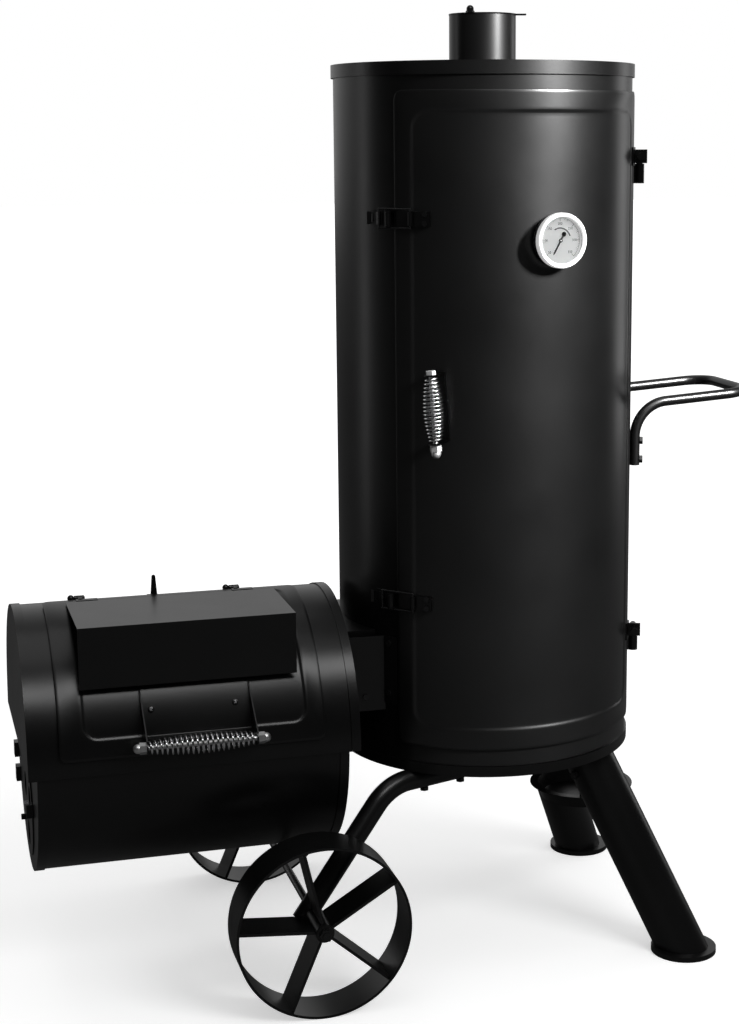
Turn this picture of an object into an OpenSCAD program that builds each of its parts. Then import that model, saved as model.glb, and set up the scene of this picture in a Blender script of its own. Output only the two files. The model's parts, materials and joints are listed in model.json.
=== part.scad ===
// Offset smoker: an upright cooking chamber with a horizontal firebox on its left.
// Millimetres, +Z up, floor at Z = 0. The chamber door faces -Y, the firebox lies toward -X
// and the push handle points to +X. Angles on the chamber are measured from the front (-Y)
// toward +X. Angles on the firebox are measured from its front (-Y) upward.

/* [Chamber] */
// Outside radius of the rolled chamber sheet
shell_r = 200; // [180:1:230]
// Thickness of the sheet metal
sheet_t = 1.5; // [1:0.1:2.5]
// Height of the underside of the chamber above the floor
base_z = 273; // [250:1:320]
// Height of the top face of the chamber
top_z = 1197; // [1150:1:1300]
// How far the rim bands of the lid and the base stand out
band_out = 3; // [2:0.5:5]
// Height of the rim band of the lid
lid_band_h = 17; // [12:1:24]
// Height of the rim band of the base
base_band_h = 14; // [10:1:24]
// Inside radius of the chimney pipe
flue_r = 43; // [35:1:50]
// Height of the chimney pipe above the lid
flue_h = 65; // [50:1:120]

/* [Door] */
// Angle of the free edge of the door
door_a0 = -51; // [-54:0.5:-48]
// Angle of the hinged edge of the door
door_a1 = 63.5; // [60:0.5:64]
// Height of the bottom edge of the door
door_z0 = 310; // [300:1:320]
// Height of the top edge of the door
door_z1 = 1161; // [1140:1:1165]
// Gap between the door's flange and the chamber sheet
door_gap = 2.3; // [2:0.1:2.6]
// Angle of the door hinges
hinge_a = 70; // [69:0.5:72]
// Distance of the hinge pins from the chamber axis
hinge_r = 210.75; // [210:0.25:213]
// Heights of the elbows of the hinge pins
hinge_zs = [431, 1077];
// Heights of the two draw latches
latch_zs = [504.5, 1001.5];
// Angle of the spring grip of the door
grip_a = -33; // [-36:0.5:-30]
// Height of the middle of the spring grip
grip_z = 764.5; // [700:0.5:820]
// Sideways lean of the spring grip
grip_lean = 3.7; // [0:0.1:6]
// Angle of the thermometer
gauge_a = 9.1; // [0:0.1:15]
// Height of the thermometer
gauge_z = 974.5; // [940:0.5:980]
// Radius of the thermometer bezel
gauge_r = 34.75; // [30:0.25:40]

/* [Firebox] */
// Height of the firebox axis
fire_z = 321; // [316:1:326]
// Outside radius of the upper half, the hood
hood_r = 178; // [174:1:182]
// Left and right ends of the hood
hood_x = [-645, -222];
// Outside radius of the lower half
body_r = 171; // [165:1:172]
// Left and right ends of the lower half
body_x = [-634, -236];
// Left and right edges of the charging lid
lid_x = [-606, -269];
// Lower and upper edge angles of the charging lid
lid_t = [6.5, 92];
// Left and right edges of the shelf on the charging lid
shelf_x = [-577, -301];
// Front and rear edges of the shelf
shelf_y = [-160, -17];
// Height of the shelf top
shelf_z = 506; // [500:1:512]
// Height of the lower edge of the shelf front
shelf_low = 427; // [420:1:440]

/* [Legs and wheels] */
// Outside radius of the two foot legs
foot_leg_r = 33.5; // [28:0.5:38]
// Centre of the front foot on the floor, mirrored for the rear foot
foot_at = [225, -204.5];
// Centre of the front foot leg where it meets the chamber
foot_top = [112.5, -107.4];
// Radius of the foot plates
foot_r = 44.5; // [40:0.5:50]
// Radius of the wheels
wheel_r = 113.6; // [100:0.1:120]
// Width of the wheel rims
wheel_w = 60.7; // [50:0.1:66]
// Distance of each wheel's middle plane from the centre line
wheel_y = 235.25; // [232:0.25:240]
// Position of the axle along X
axle_x = -292.6; // [-300:0.1:-285]
// Radius of the axle rod
axle_r = 5; // [4:0.5:6]
// Outside radius of the wheel leg tubes
wheel_leg_r = 14; // [12:0.5:16]
// Downward slope of the lower run of the wheel legs
wheel_leg_slope = 48.3; // [45:0.1:50]
// Number of wheel spokes
spoke_n = 5; // [4:1:8]

/* [Push handle] */
// Radius of the handle tube
handle_r = 7; // [6:0.5:9]
// Distance of the arms from the centre line
arm_y = 76; // [70:1:85]
// Position of the grip along X
grip_x = 367; // [350:1:390]
// Upward slope of the arms
arm_slope = 3.8; // [0:0.1:8]
// Height of the lower tube ends
handle_low = 658; // [640:1:670]

/* [Hidden] */
$fn = 96;

satin_black = [0.06, 0.06, 0.065];
steel = [0.75, 0.76, 0.78];
cut = 1;          // overshoot of a cutting tool past a face
fit = 0.05;       // radial clearance of a running fit
slip = 0.3;       // gap between faces that turn past each other
weld = 0.4;       // overlap that joins two pieces of one weldment

// The chamber axis stands off the origin so that the whole object is centred on it
damper_tab_out = 9;
barrel_x = -(min(hood_x[0], body_x[0] - damper_tab_out) + grip_x + handle_r) / 2;

// Chamber sheet
shell_ri = shell_r - sheet_t;
shell_z = [base_z + sheet_t, top_z - sheet_t];
opening_a = [-46.2, 58.5];
opening_z = [327, 1144];
flue_ro = flue_r + sheet_t;
flue_top = top_z + flue_h;

// Smoke duct between the firebox and the chamber
duct_y = 90;
duct_z = [352, 457];
duct_t = 2;
saddle_y = 106;
saddle_z = [361, 452];
saddle_t = 1.6;
saddle_a = [-58.1, -51.7];
saddle_screw_a = -55.6;
saddle_screw_zs = [375, 443];

// Door sheet with a panel pressed inward
door_ri = shell_r + door_gap;
door_ro = door_ri + sheet_t;
panel_a = [-44.5, 57];
panel_z = [335.5, 1137.5];
panel_r = door_ro - sheet_t;
panel_inset_a = 0.6;
panel_inset_z = 2;

// Door hinges: an L-shaped pin that drops into a socket
pin_r = 4.4;
socket_r = 6.6;
socket_gap = 10;
socket_len = 26;
pin_run = 42;
tab_x = -30;
hinge_plate_a = [57.6, 63.3];
hinge_nut_r = 6.5;
hinge_nut_h = 5.5;

// Draw latches: a lever on the chamber holds a wire loop that is hinged on the door
lever_a = -52.6;
lever_r = 210;
lever_pin_r = 2;
lever_hub_r = 4;
lever_half = 8;
ear_t = 1.5;
base_half = 10;
loop_a = -43.7;
loop_r = 208;
loop_wire_r = 1.4;
loop_knob = 0.15;
loop_half = 12;
bar_a = -56.5;
bar_r = 210.1;
curl_r = 3.2;
keeper_half = 9.5;
keeper_t = 3.1;
keeper_a1 = -36.6;

// Spring grip of the door
grip_r = 235;
grip_half = 42.5;
grip_plate_t = 2;
rod_r = 3;
nut_r = 7.5;
hex_h = 8.5;
dome_h = 9;
head_h = 5;
coil_in = 7.8;
coil_out = 13.5;
coil_wire = 3;

// Thermometer, measured inward from its front face
gauge_face_r = 224;
case_r = 33;
case_in_r = 31.5;
case_depth = 18;
stem_r = 4;
stem_end = 90;
stem_nut_r = 9;
stem_nut_h = 5;
dial_depth = 9;
pointer_depth = 6.3;
pointer_pin_r = 1;
glass_depth = 3.1;
pointer_turn = 30;

// Firebox
band_w = 12;
band_t = 1.6;
charge_x = [-590, -285];
charge_t = [13, 86];
lid_r = hood_r + 4.5;
lid_panel_x = [-577, -290];
lid_panel_t = [13.6, 88];
lid_panel_r = lid_r - sheet_t;
vent_at = [-15, 235];
vent_r = 66;
vent_hole_r = 17;
vent_hole_at = 38;
vent_n = 3;
ledge_z = 231;
coal_x = [-612, -258];
coal_y = 136;
bar_t = 4;

// Charging lid hinges, stop and spring grip
lid_axis_t = 94.4;
lid_axis_r = 183.1;
knuckle_r = 3.3;
lid_pin_r = 1.8;
knuckle_xs = [[0, 4], [10, 13]];
moving_knuckle = [knuckle_xs[0][1] + slip, knuckle_xs[1][0] - slip];
leaf_len = 30;
lid_hinge_xs = [-563, -356];
stop_x = -456.5;
stop_y = 20;
stop_top = 524;
lid_grip_t = 10.8;
lid_grip_r = 215;
lid_plate_t = [14.4, 33];
lid_grip_x = [-503, -363];
flange_t = 1.6;
lid_nut_screw_xs = [-490, -383];

// Wheel legs: a level run under the chamber, a bend and a sloping run down to the axle
leg_wall = 2;
run_from = [-66, -107];
run_to = [axle_x, -187];
run_top = base_z - wheel_leg_r;
run_start = -20;
run_bend = 70;
run_angle = atan2(run_to[1] - run_from[1], run_to[0] - run_from[0]);
axle_s = norm(run_to - run_from);
axle_drop = 5;
corner_s = axle_s - ((run_top - wheel_r) * cos(wheel_leg_slope) - axle_drop) / sin(wheel_leg_slope);
bend_s = corner_s - run_bend * tan(wheel_leg_slope / 2);
slope_s = bend_s + run_bend * sin(wheel_leg_slope);
slope_z = run_top - run_bend * (1 - cos(wheel_leg_slope));
past_axle = 18;
slope_len = (axle_s - slope_s) * cos(wheel_leg_slope) + (slope_z - wheel_r) * sin(wheel_leg_slope)
    + past_axle;
run_bolt_ss = [0, 60];

// Wheels
rim_t = 3.5;
hub_r = 12;
hub_half = 29;
spoke_t = 4;
spoke_half = 26;
spoke_phase = 31;

// Foot legs
foot_h = 7;
foot_rise = base_z;
foot_run = norm(foot_top - foot_at);
foot_turn = atan2(foot_top[1] - foot_at[1], foot_top[0] - foot_at[0]);
foot_tilt = atan(foot_run / foot_rise);

// Push handle path: upright end, bend, sloping arm, corner, grip
handle_wall = 1.5;
handle_bend = 48;
corner_r = 35;
pad_t = 2.5;
upright_r = shell_r + pad_t + handle_r;
upright_a = asin(arm_y / upright_r);
upright_x = upright_r * cos(upright_a);
arm_z = 744.7;
arm_from = upright_x + handle_bend * (1 - sin(arm_slope));
handle_bend_z = arm_z - handle_bend * cos(arm_slope);
arm_len = (grip_x - corner_r - arm_from) / cos(arm_slope);
handle_bolt_zs = [666, 692];

// Cooking grates
grate_zs = [470, 680, 890];
grate_r = 190;
grate_bar = 4;
grate_pitch = 19;
grate_rim = 6;
support_as = [-62, 74, 140, -140];

// Chimney damper
damper_a = 101.9;
damper_pivot = 33.5;
damper_r = 45;
damper_tab_r = 58;
damper_tab_a = -17;
damper_z = flue_top + 0.4;

// Drip cup on a wire bail
cup_x = 150;
cup_rim_r = 73.6;
cup_rim_z = 183;
cup_floor_r = 57.6;
cup_depth = 20;
cup_t = 1.2;
bail_r = 1.5;
bail_z = 252;
bail_turn = -110.9;
bail_half = 14;
hook_r = 4.2;
hook_wire_r = 2;

// ---------- shared shapes ----------

module placed() {
    translate([barrel_x, 0, 0])
        children();
}

// Puts children on the chamber: X runs along the sheet toward +X, Y points to the axis
module on_barrel(angle, radius, height) {
    rotate([0, 0, angle])
        translate([0, -radius, height])
            children();
}

// Puts children on the firebox: Y points to its axis, Z runs along the sheet, upward in front
module on_firebox(angle, radius, x) {
    translate([x, 0, fire_z])
        rotate([-angle, 0, 0])
            translate([0, -radius, 0])
                children();
}

// A curved sheet around the chamber axis
module barrel_sheet(r_in, r_out, angles, heights) {
    rotate([0, 0, angles[0] - 90])
        translate([0, 0, heights[0]])
            rotate_extrude(angle = angles[1] - angles[0])
                translate([r_in, 0])
                    square([r_out - r_in, heights[1] - heights[0]]);
}

// A curved sheet around the firebox axis
module firebox_sheet(r_in, r_out, angles, xs) {
    translate([xs[0], 0, fire_z])
        rotate([0, 90, 0])
            rotate([0, 0, -90 - angles[1]])
                rotate_extrude(angle = angles[1] - angles[0])
                    translate([r_in, 0])
                        square([r_out - r_in, xs[1] - xs[0]]);
}

// A plate drawn in the Y-Z plane and thickened toward +X
module side_plate(x, thickness) {
    translate([x, 0, 0])
        rotate([90, 0, 90])
            linear_extrude(thickness)
                children();
}

// A point in the Y-Z plane at an angle and radius on the firebox
function fire_point(angle, radius) = [-radius * cos(angle), fire_z + radius * sin(angle)];

module ring(r_in, r_out, height) {
    difference() {
        cylinder(r = r_out, h = height);
        translate([0, 0, -cut])
            cylinder(r = r_in, h = height + 2 * cut);
    }
}

module hexagon(radius, height) {
    cylinder(r = radius, h = height, $fn = 6);
}

// Hexagon nut with a domed end, growing along +Z
module acorn_nut(radius, hex_height, dome_height) {
    hexagon(radius, hex_height);
    dome_r = radius * 0.82;
    translate([0, 0, hex_height - weld])
        cylinder(r = dome_r, h = dome_height - dome_r + weld);
    translate([0, 0, hex_height + dome_height - dome_r])
        intersection() {
            sphere(r = dome_r);
            cylinder(r = dome_r, h = dome_r);
        }
}

// Pan head of a screw, standing outward from a sheet
module pan_head(radius, height) {
    rotate([90, 0, 0])
        cylinder(r = radius, h = height);
}

// Barrel-shaped body of a coil spring along Z, hollow around its rod
module coil_body(half, end_r, mid_r, wire) {
    steps = 8;
    function swell(i) = end_r + (mid_r - end_r) * sin(180 * i / steps);
    function level(i) = -half + 2 * half * i / steps;
    outer = [for (i = [0:steps]) [swell(i), level(i)]];
    inner = [for (i = [steps:-1:0]) [swell(i) - wire, level(i)]];
    rotate_extrude()
        polygon(concat(outer, inner));
}

// ---------- cooking chamber ----------

module chamber_shell() {
    color(satin_black) placed()
        difference() {
            translate([0, 0, shell_z[0]])
                ring(shell_ri, shell_r, shell_z[1] - shell_z[0]);
            barrel_sheet(shell_ri - cut, shell_r + cut, opening_a, opening_z);
            translate([-shell_r - cut, -duct_y + duct_t, duct_z[0] + duct_t])
                cube([shell_r, 2 * (duct_y - duct_t), duct_z[1] - duct_z[0] - 2 * duct_t]);
            handle_bolt_places()
                bolt_hole();
        }
}

module chamber_lid() {
    color(satin_black) placed() {
        translate([0, 0, shell_z[1]])
            ring(flue_r, shell_r + band_out, sheet_t);
        translate([0, 0, top_z - lid_band_h])
            ring(shell_r, shell_r + band_out, lid_band_h);
    }
}

// The base has a drain hole with a short spout over the drip cup
module chamber_base() {
    drain_x = 120;
    drain_r = 6;
    spout_r = 8;
    spout_h = 10;
    color(satin_black) placed()
        difference() {
            union() {
                translate([0, 0, base_z])
                    cylinder(r = shell_r + band_out, h = sheet_t);
                translate([0, 0, base_z])
                    ring(shell_r, shell_r + band_out, base_band_h);
                translate([drain_x, 0, base_z - spout_h])
                    cylinder(r = spout_r, h = spout_h + cut);
            }
            translate([drain_x, 0, base_z - spout_h - cut])
                cylinder(r = drain_r, h = spout_h + sheet_t + 2 * cut);
        }
}

// The pipe carries a lug inside its mouth for the damper bolt
module chimney_pipe() {
    lug_h = 6;
    lug_half = 7;
    lug_from = 26;
    color(satin_black) placed() {
        translate([0, 0, top_z])
            ring(flue_r, flue_ro, flue_h);
        rotate([0, 0, damper_a])
            difference() {
                translate([lug_from, -lug_half, flue_top - lug_h])
                    cube([flue_r + weld - lug_from, 2 * lug_half, lug_h]);
                translate([damper_pivot, 0, flue_top - lug_h - cut])
                    cylinder(r = rod_r + fit, h = lug_h + 2 * cut);
            }
    }
}

module damper_bolt() {
    lug_h = 6;
    bolt_head = 4;
    head_r = 5.5;
    cap_r = 6;
    cap_hex = 6;
    cap_dome = 7.5;
    plate_top = damper_z + sheet_t;
    color(satin_black) placed()
        rotate([0, 0, damper_a])
            translate([damper_pivot, 0, 0]) {
                translate([0, 0, flue_top - lug_h - bolt_head])
                    hexagon(head_r, bolt_head);
                translate([0, 0, flue_top - lug_h - weld])
                    cylinder(r = rod_r, h = plate_top + slip - flue_top + lug_h + 2 * weld);
                translate([0, 0, plate_top + slip])
                    acorn_nut(cap_r, cap_hex, cap_dome);
            }
}

module chimney_damper() {
    tab_w = 16;
    color(satin_black) placed()
        translate([0, 0, damper_z])
            difference() {
                union() {
                    cylinder(r = damper_r, h = sheet_t);
                    rotate([0, 0, damper_tab_a])
                        translate([0, -tab_w / 2, 0])
                            cube([damper_tab_r, tab_w, sheet_t]);
                }
                rotate([0, 0, damper_a])
                    translate([damper_pivot, 0, -cut])
                        cylinder(r = rod_r + fit, h = sheet_t + 2 * cut);
            }
}

module cooking_grate(height) {
    reach = grate_r - grate_rim / 2;
    count = floor(reach / grate_pitch);
    color(steel) placed()
        translate([0, 0, height]) {
            ring(grate_r - grate_rim, grate_r, grate_rim);
            for (i = [-count:count]) {
                half = sqrt(reach * reach - pow(i * grate_pitch, 2));
                translate([i * grate_pitch - grate_bar / 2, -half, grate_rim - grate_bar])
                    cube([grate_bar, 2 * half, grate_bar]);
            }
            translate([-reach, -grate_bar / 2, 0])
                cube([2 * reach, grate_bar, grate_rim - grate_bar]);
        }
}

module lower_cooking_grate() {
    cooking_grate(grate_zs[0]);
}

module middle_cooking_grate() {
    cooking_grate(grate_zs[1]);
}

module upper_cooking_grate() {
    cooking_grate(grate_zs[2]);
}

// Angle brackets inside the chamber, four under each grate
module grate_supports() {
    half = 8;
    plate_h = 22;
    plate_t = 2;
    ledge_to = 178;
    ledge_t = 3;
    plate_r = 198;
    color(satin_black) placed()
        for (z = grate_zs, a = support_as)
            on_barrel(a, plate_r, z) {
                translate([-half, 0, -plate_h])
                    cube([2 * half, plate_t, plate_h]);
                translate([-half, 0, -ledge_t])
                    cube([2 * half, plate_r - ledge_to, ledge_t - fit]);
            }
}

// ---------- chamber door ----------

module door_sheet() {
    difference() {
        union() {
            barrel_sheet(door_ri, door_ro, [door_a0, door_a1], [door_z0, door_z1]);
            barrel_sheet(panel_r - sheet_t, door_ro, panel_a, panel_z);
        }
        barrel_sheet(panel_r, door_ro + cut,
            [panel_a[0] + panel_inset_a, panel_a[1] - panel_inset_a],
            [panel_z[0] + panel_inset_z, panel_z[1] - panel_inset_z]);
    }
}

module chamber_door() {
    hole_r = stem_r + 0.5;
    color(satin_black) placed()
        difference() {
            door_sheet();
            gauge_frame()
                cylinder(r = hole_r, h = stem_end);
        }
}

module at_hinges() {
    for (z = hinge_zs)
        on_barrel(hinge_a, hinge_r, z)
            children();
}

module door_hinge_pins() {
    down = socket_gap + socket_len - 2;
    color(satin_black) placed()
        at_hinges() {
            translate([0, 0, -down])
                cylinder(r = pin_r, h = down);
            sphere(r = pin_r);
            rotate([0, -90, 0])
                cylinder(r = pin_r, h = pin_run);
        }
}

// Sockets welded to the chamber
module hinge_sockets() {
    web_half = 4;
    color(satin_black) placed()
        difference() {
            at_hinges()
                translate([0, 0, -socket_gap - socket_len]) {
                    cylinder(r = socket_r, h = socket_len);
                    translate([-web_half, 0, 0])
                        cube([2 * web_half, hinge_r - shell_r + cut, socket_len]);
                }
            cylinder(r = shell_r, h = top_z);
            at_hinges()
                translate([0, 0, -socket_gap - socket_len - cut])
                    cylinder(r = pin_r + fit, h = socket_len + 2 * cut);
        }
}

// Curved plates with a standing tab that holds the level run of each pin
module door_hinge_brackets() {
    half_h = 12;
    plate_t = 2;
    tab_half = 9;
    tab_root = 7.6;
    color(satin_black) placed()
        for (z = hinge_zs)
            difference() {
                union() {
                    barrel_sheet(door_ro, door_ro + plate_t, hinge_plate_a, [z - half_h, z + half_h]);
                    on_barrel(hinge_a, hinge_r, z)
                        translate([tab_x, -tab_half, -tab_half])
                            cube([plate_t, tab_half + tab_root, 2 * tab_half]);
                }
                on_barrel(hinge_a, hinge_r, z)
                    translate([tab_x - cut, 0, 0])
                        rotate([0, 90, 0])
                            cylinder(r = pin_r + fit, h = plate_t + 2 * cut);
            }
}

// Hinge nuts, keeper screws and the nut on the thermometer stem
module door_fasteners() {
    screw_a = -38.4;
    screw_z = 6;
    screw_r = 3.5;
    screw_h = 2;
    stem_nut_from = gauge_face_r - panel_r + sheet_t + slip;
    color(satin_black) placed() {
        at_hinges()
            translate([tab_x - hinge_nut_h, 0, 0])
                rotate([0, 90, 0])
                    difference() {
                        hexagon(hinge_nut_r, hinge_nut_h);
                        translate([0, 0, -cut])
                            cylinder(r = pin_r + fit, h = hinge_nut_h + 2 * cut);
                    }
        for (z = latch_zs, dz = [-screw_z, screw_z])
            on_barrel(screw_a, panel_r + keeper_t, z + dz)
                pan_head(screw_r, screw_h);
        gauge_frame()
            translate([0, 0, stem_nut_from])
                difference() {
                    hexagon(stem_nut_r, stem_nut_h);
                    translate([0, 0, -cut])
                        cylinder(r = stem_r + fit, h = stem_nut_h + 2 * cut);
                }
    }
}

// ---------- draw latches ----------

// Base plates with two ears and the riveted pivot pin of the lever
module latch_bases() {
    plate_a = [-62, -51.9];
    plate_t = 1.8;
    ear_half = lever_hub_r;
    ear_root = lever_r - shell_r - plate_t / 2;
    color(satin_black) placed()
        for (z = latch_zs) {
            barrel_sheet(shell_r + fit, shell_r + plate_t, plate_a, [z - base_half, z + base_half]);
            on_barrel(lever_a, lever_r, z) {
                for (side = [-1, 1])
                    translate([0, 0, side * (base_half - ear_t / 2) - ear_t / 2]) {
                        cylinder(r = ear_half, h = ear_t);
                        translate([-ear_half, 0, 0])
                            cube([2 * ear_half, ear_root, ear_t]);
                    }
                translate([0, 0, -base_half])
                    cylinder(r = lever_pin_r, h = 2 * base_half);
            }
        }
}

// Pressed lever: hub, raised shelf under the loop, finger tip with a slot
module latch_lever(z) {
    arm = [[0, 3.9], [-14, 4.2], [-19, 7.4], [-24, 8.4], [-34.6, 9.6], [-38.6, 6.6],
        [-37.6, 5.2], [-34.2, 7.8], [-24, 6.6], [-20, 5.7], [-16.6, 2.3], [-11.6, 2.1],
        [-11.2, 1.2], [-9.8, 1.2], [-9.4, 2.1], [0, 2.1]];
    slot_x = [-34, -27];
    slot_half = 5;
    color(satin_black) placed()
        on_barrel(lever_a, lever_r, z)
            difference() {
                translate([0, 0, -lever_half])
                    linear_extrude(2 * lever_half)
                        union() {
                            circle(r = lever_hub_r);
                            polygon(arm);
                        }
                translate([0, 0, -lever_half - cut])
                    cylinder(r = lever_pin_r + fit, h = 2 * (lever_half + cut));
                translate([slot_x[0], 0, -slot_half])
                    cube([slot_x[1] - slot_x[0], 4 * lever_hub_r, 2 * slot_half]);
            }
}

module lower_latch_lever() {
    latch_lever(latch_zs[0]);
}

module upper_latch_lever() {
    latch_lever(latch_zs[1]);
}

// Closed wire loop, hinged in the keeper's curl, its crossbar over the lever
module latch_loop(z) {
    bar = [bar_r * sin(bar_a - loop_a), loop_r - bar_r * cos(bar_a - loop_a)];
    color(steel) placed()
        on_barrel(loop_a, loop_r, z) {
            for (end = [[0, 0], bar]) {
                translate([end[0], end[1], -loop_half])
                    cylinder(r = loop_wire_r, h = 2 * loop_half);
                for (side = [-1, 1])
                    translate([end[0], end[1], side * loop_half])
                        sphere(r = loop_wire_r + loop_knob);
            }
            for (side = [-1, 1])
                translate([0, 0, side * loop_half])
                    rotate([0, 0, atan2(bar[1], bar[0])])
                        rotate([0, 90, 0])
                            cylinder(r = loop_wire_r, h = norm(bar));
        }
}

module lower_latch_loop() {
    latch_loop(latch_zs[0]);
}

module upper_latch_loop() {
    latch_loop(latch_zs[1]);
}

// Keeper plates on the door with a rolled curl for the loop
module latch_keepers() {
    curl_half = 8;
    plate_a0 = -43.8;
    color(satin_black) placed()
        difference() {
            for (z = latch_zs) {
                barrel_sheet(panel_r, panel_r + keeper_t, [plate_a0, keeper_a1],
                    [z - keeper_half, z + keeper_half]);
                on_barrel(loop_a, loop_r, z - curl_half)
                    cylinder(r = curl_r, h = 2 * curl_half);
            }
            for (z = latch_zs)
                on_barrel(loop_a, loop_r, z - curl_half - cut)
                    cylinder(r = loop_wire_r + fit, h = 2 * (curl_half + cut));
        }
}

// ---------- spring grip of the door ----------

module grip_frame() {
    on_barrel(grip_a, grip_r, grip_z)
        rotate([0, -grip_lean, 0])
            children();
}

module door_handle_bracket() {
    half_w = 9;
    root = grip_r - panel_r - 0.2;
    color(satin_black) placed()
        grip_frame()
            difference() {
                union() {
                    translate([-half_w, root - grip_plate_t, -grip_half - grip_plate_t])
                        cube([2 * half_w, grip_plate_t, 2 * (grip_half + grip_plate_t)]);
                    for (z = [-grip_half - grip_plate_t, grip_half])
                        translate([0, 0, z]) {
                            cylinder(r = half_w, h = grip_plate_t);
                            translate([-half_w, 0, 0])
                                cube([2 * half_w, root, grip_plate_t]);
                        }
                }
                translate([0, 0, -grip_half - 2 * grip_plate_t])
                    cylinder(r = rod_r + 2 * fit, h = 2 * grip_half + 4 * grip_plate_t);
            }
}

module door_handle_rod() {
    end = grip_half + grip_plate_t;
    color(steel) placed()
        grip_frame() {
            translate([0, 0, -end - weld])
                cylinder(r = rod_r, h = 2 * end + 2 * weld);
            translate([0, 0, end])
                hexagon(nut_r - 1, head_h);
            translate([0, 0, -end])
                mirror([0, 0, 1])
                    acorn_nut(nut_r, hex_h, dome_h);
        }
}

module door_handle_spring() {
    color(steel) placed()
        grip_frame()
            coil_body(grip_half - slip, coil_in, coil_out, coil_wire);
}

// ---------- thermometer ----------

// Z runs inward from the front face, X to the right and Y down as seen from in front
module gauge_frame() {
    on_barrel(gauge_a, gauge_face_r, gauge_z)
        rotate([-90, 0, 0])
            children();
}

module gauge_case() {
    hex_depth = gauge_face_r - panel_r - case_depth - 0.1;
    floor_t = 2;
    color(steel) placed()
        gauge_frame()
            difference() {
                union() {
                    translate([0, 0, glass_depth])
                        cylinder(r = case_r, h = case_depth - glass_depth);
                    translate([0, 0, case_depth - weld])
                        hexagon(stem_nut_r, hex_depth + weld);
                    translate([0, 0, case_depth - weld])
                        cylinder(r = stem_r, h = stem_end - case_depth + weld);
                }
                translate([0, 0, -cut])
                    cylinder(r = case_in_r, h = case_depth - floor_t + cut);
            }
}

module gauge_bezel() {
    lip_r = 29.5;
    skirt = 8;
    color([0.85, 0.86, 0.88]) placed()
        gauge_frame()
            rotate_extrude()
                polygon([[lip_r, 0.9], [lip_r + 1.5, 0], [gauge_r - 1.3, 0], [gauge_r, 1.5],
                    [gauge_r, skirt], [case_r + fit, skirt], [case_r + fit, glass_depth - fit],
                    [lip_r, glass_depth - fit]]);
}

// The dial carries the pin that the pointer turns on
module gauge_dial() {
    color("white") placed()
        gauge_frame() {
            translate([0, 0, dial_depth])
                cylinder(r = case_in_r - 2 * fit, h = 1);
            translate([0, 0, pointer_depth - 0.9])
                cylinder(r = pointer_pin_r, h = dial_depth - pointer_depth + 1);
        }
}

module gauge_glass() {
    color([0.8, 0.85, 0.9, 0.3]) placed()
        gauge_frame()
            translate([0, 0, glass_depth])
                cylinder(r = case_in_r - 2 * fit, h = 1.5);
}

// Pointer with a round counterweight
module gauge_pointer() {
    thick = 0.7;
    point = 3;
    hub_r = 2.6;
    tail_r = 3;
    tip = 21;
    tail = 9;
    half_w = 1;
    color("black") placed()
        gauge_frame()
            translate([0, 0, pointer_depth])
                rotate([0, 0, pointer_turn])
                    difference() {
                        linear_extrude(thick)
                            union() {
                                polygon([[-half_w, -tail], [half_w, -tail], [half_w, tip - point],
                                    [0, tip], [-half_w, tip - point]]);
                                circle(r = hub_r);
                                translate([0, -tail])
                                    circle(r = tail_r);
                            }
                        translate([0, 0, -cut])
                            cylinder(r = pointer_pin_r + fit, h = thick + 2 * cut);
                    }
}

// ---------- smoke duct ----------

module duct() {
    reach = shell_r;
    color(satin_black) placed()
        difference() {
            translate([hood_x[1], -duct_y, duct_z[0]])
                cube([reach, 2 * duct_y, duct_z[1] - duct_z[0]]);
            translate([hood_x[1] - cut, -duct_y + duct_t, duct_z[0] + duct_t])
                cube([reach, 2 * (duct_y - duct_t), duct_z[1] - duct_z[0] - 2 * duct_t]);
            translate([0, 0, duct_z[0] - cut])
                cylinder(r = shell_r + fit, h = duct_z[1] - duct_z[0] + 2 * cut);
            translate([-shell_r / 2, -shell_r, duct_z[0] - cut])
                cube([2 * shell_r, 2 * shell_r, duct_z[1] - duct_z[0] + 2 * cut]);
        }
}

// Cradle around the duct: two cheeks, a bottom lip and flanges to the chamber and the hood
module duct_saddle() {
    lip_z = duct_z[0] - saddle_t;
    hood_flange_y = 118;
    reach = 60;
    color(satin_black) placed()
        for (side = [0, 1])
            mirror([0, side, 0]) {
                barrel_sheet(shell_r + fit, shell_r + saddle_t, saddle_a, saddle_z);
                difference() {
                    translate([hood_x[1], -saddle_y, lip_z])
                        cube([reach, saddle_t, saddle_z[1] - lip_z]);
                    cylinder(r = shell_r + fit, h = top_z);
                }
                difference() {
                    translate([hood_x[1], -saddle_y, lip_z])
                        cube([reach, saddle_y, saddle_t]);
                    cylinder(r = shell_r + fit, h = top_z);
                }
                translate([hood_x[1], -hood_flange_y, saddle_z[0]])
                    cube([saddle_t, hood_flange_y - saddle_y + saddle_t, saddle_z[1] - saddle_z[0]]);
            }
}

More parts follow.
